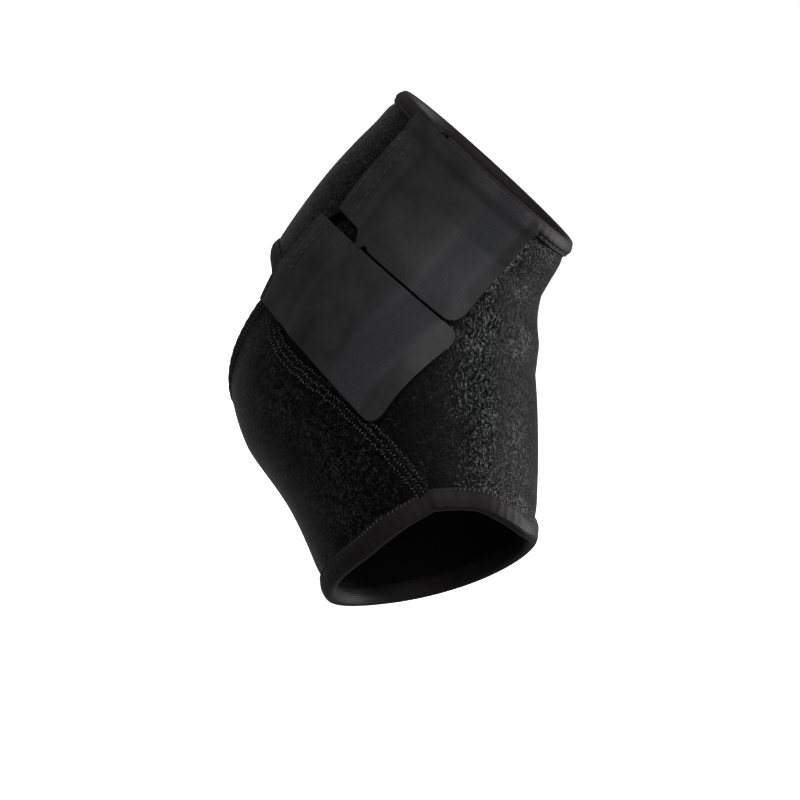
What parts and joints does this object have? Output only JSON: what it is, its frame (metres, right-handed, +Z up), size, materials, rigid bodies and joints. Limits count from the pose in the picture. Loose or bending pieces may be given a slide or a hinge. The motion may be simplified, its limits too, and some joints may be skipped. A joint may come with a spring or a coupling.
{
  "type": "ankle brace",
  "caption": "Open-heel neoprene ankle brace with taped rims, a raised side seam and broad overlapping closing tabs.",
  "frame": {"origin": "centre of the ankle on the leg's line, where the leg's middle passes into the ankle", "axes": "+Z up the leg and out of the top rim, +X toward the toes, +Y to the inner side of the right foot"},
  "size_m": [0.1655, 0.1118, 0.1632],
  "materials": {
    "neoprene": "black looped cloth on neoprene foam, matt with fine glints",
    "seam_thread": "raised flat seam in black thread",
    "tape": "smooth dark grey folded tape",
    "tab": "smooth charcoal nylon with a soft sheen"
  },
  "bodies": {
    "root": {"neoprene_wrap": "neoprene", "side_seam": "seam_thread", "top_binding": "tape", "heel_binding": "tape", "foot_binding": "tape", "upper_tab": "tab", "lower_tab": "tab"}
  },
  "joints": []
}
